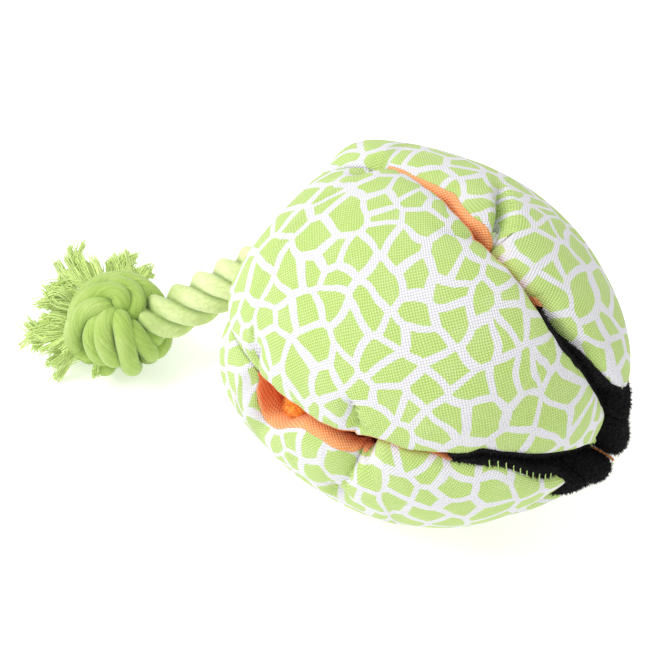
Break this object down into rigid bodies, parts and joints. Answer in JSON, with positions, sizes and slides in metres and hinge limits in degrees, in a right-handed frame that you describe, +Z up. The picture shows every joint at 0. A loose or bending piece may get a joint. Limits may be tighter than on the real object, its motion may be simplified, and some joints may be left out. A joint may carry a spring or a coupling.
{
  "type": "treat dispensing dog toy",
  "caption": "Melon-shaped padded fabric ball whose petals fold open from a sewn cup over a treat hollow, with hook and loop tips and a knotted tug rope at the stem.",
  "frame": {"origin": "on the floor under the middle of the ball, at the centre of the flat that it rests on", "axes": "+X along the melon's axis from the stem to the petal tips, +Z up"},
  "size_m": [0.2665, 0.1506, 0.14],
  "materials": {
    "printed_cover": "coated oxford weave, lime green with a white net print",
    "orange_lining": "coated oxford weave, plain orange",
    "batting": "polyester filling",
    "black_tape": "black hook and loop tape, fuzzy",
    "yellow_fleece": "brushed fleece",
    "green_cotton": "three-strand twisted cotton"
  },
  "bodies": {
    "cup": {"cup_cover": "printed_cover", "cup_padding": "batting", "cup_lining": "orange_lining", "rope_core": "green_cotton", "anchor_knot": "green_cotton", "pulp_strip_1": "yellow_fleece", "pulp_strip_2": "yellow_fleece", "pulp_strip_3": "yellow_fleece", "pulp_strip_4": "yellow_fleece", "pulp_strip_5": "yellow_fleece"},
    "petal_1": {"petal_1_cover": "printed_cover", "petal_1_padding": "batting", "petal_1_lining": "orange_lining", "petal_1_hook_tape": "black_tape", "petal_1_loop_tape": "black_tape"},
    "petal_2": {"petal_2_cover": "printed_cover", "petal_2_padding": "batting", "petal_2_lining": "orange_lining", "petal_2_hook_tape": "black_tape", "petal_2_loop_tape": "black_tape"},
    "petal_3": {"petal_3_cover": "printed_cover", "petal_3_padding": "batting", "petal_3_lining": "orange_lining", "petal_3_hook_tape": "black_tape", "petal_3_loop_tape": "black_tape"},
    "petal_4": {"petal_4_cover": "printed_cover", "petal_4_padding": "batting", "petal_4_lining": "orange_lining", "petal_4_hook_tape": "black_tape", "petal_4_loop_tape": "black_tape"},
    "petal_5": {"petal_5_cover": "printed_cover", "petal_5_padding": "batting", "petal_5_lining": "orange_lining", "petal_5_hook_tape": "black_tape", "petal_5_loop_tape": "black_tape"},
    "rope": {"tug_rope": "green_cotton", "stopper_knot": "green_cotton", "tassel": "green_cotton"}
  },
  "joints": [
    {"name": "petal_1_fold", "type": "hinge", "parent": "cup", "child": "petal_1", "pos_m": [-0.03174, -0.04001, 0.12357], "axis": [0, -0.809, -0.5878], "range_deg": [0, 115]},
    {"name": "petal_2_fold", "type": "hinge", "parent": "cup", "child": "petal_2", "pos_m": [-0.03174, -0.06474, 0.04746], "axis": [0, 0.309, -0.9511], "range_deg": [0, 115]},
    {"name": "petal_3_fold", "type": "hinge", "parent": "cup", "child": "petal_3", "pos_m": [-0.03174, 0, 0.00043], "axis": [0, 1, 0], "range_deg": [0, 115]},
    {"name": "petal_4_fold", "type": "hinge", "parent": "cup", "child": "petal_4", "pos_m": [-0.03174, 0.06474, 0.04746], "axis": [0, 0.309, 0.9511], "range_deg": [0, 115]},
    {"name": "petal_5_fold", "type": "hinge", "parent": "cup", "child": "petal_5", "pos_m": [-0.03174, 0.04001, 0.12357], "axis": [0, -0.809, 0.5878], "range_deg": [0, 115]},
    {"name": "rope_swing", "type": "hinge", "parent": "cup", "child": "rope", "pos_m": [-0.06965, 0, 0.0685], "axis": [-0.6213, 0.7836, 0], "range_deg": [-25, 90]}
  ]
}
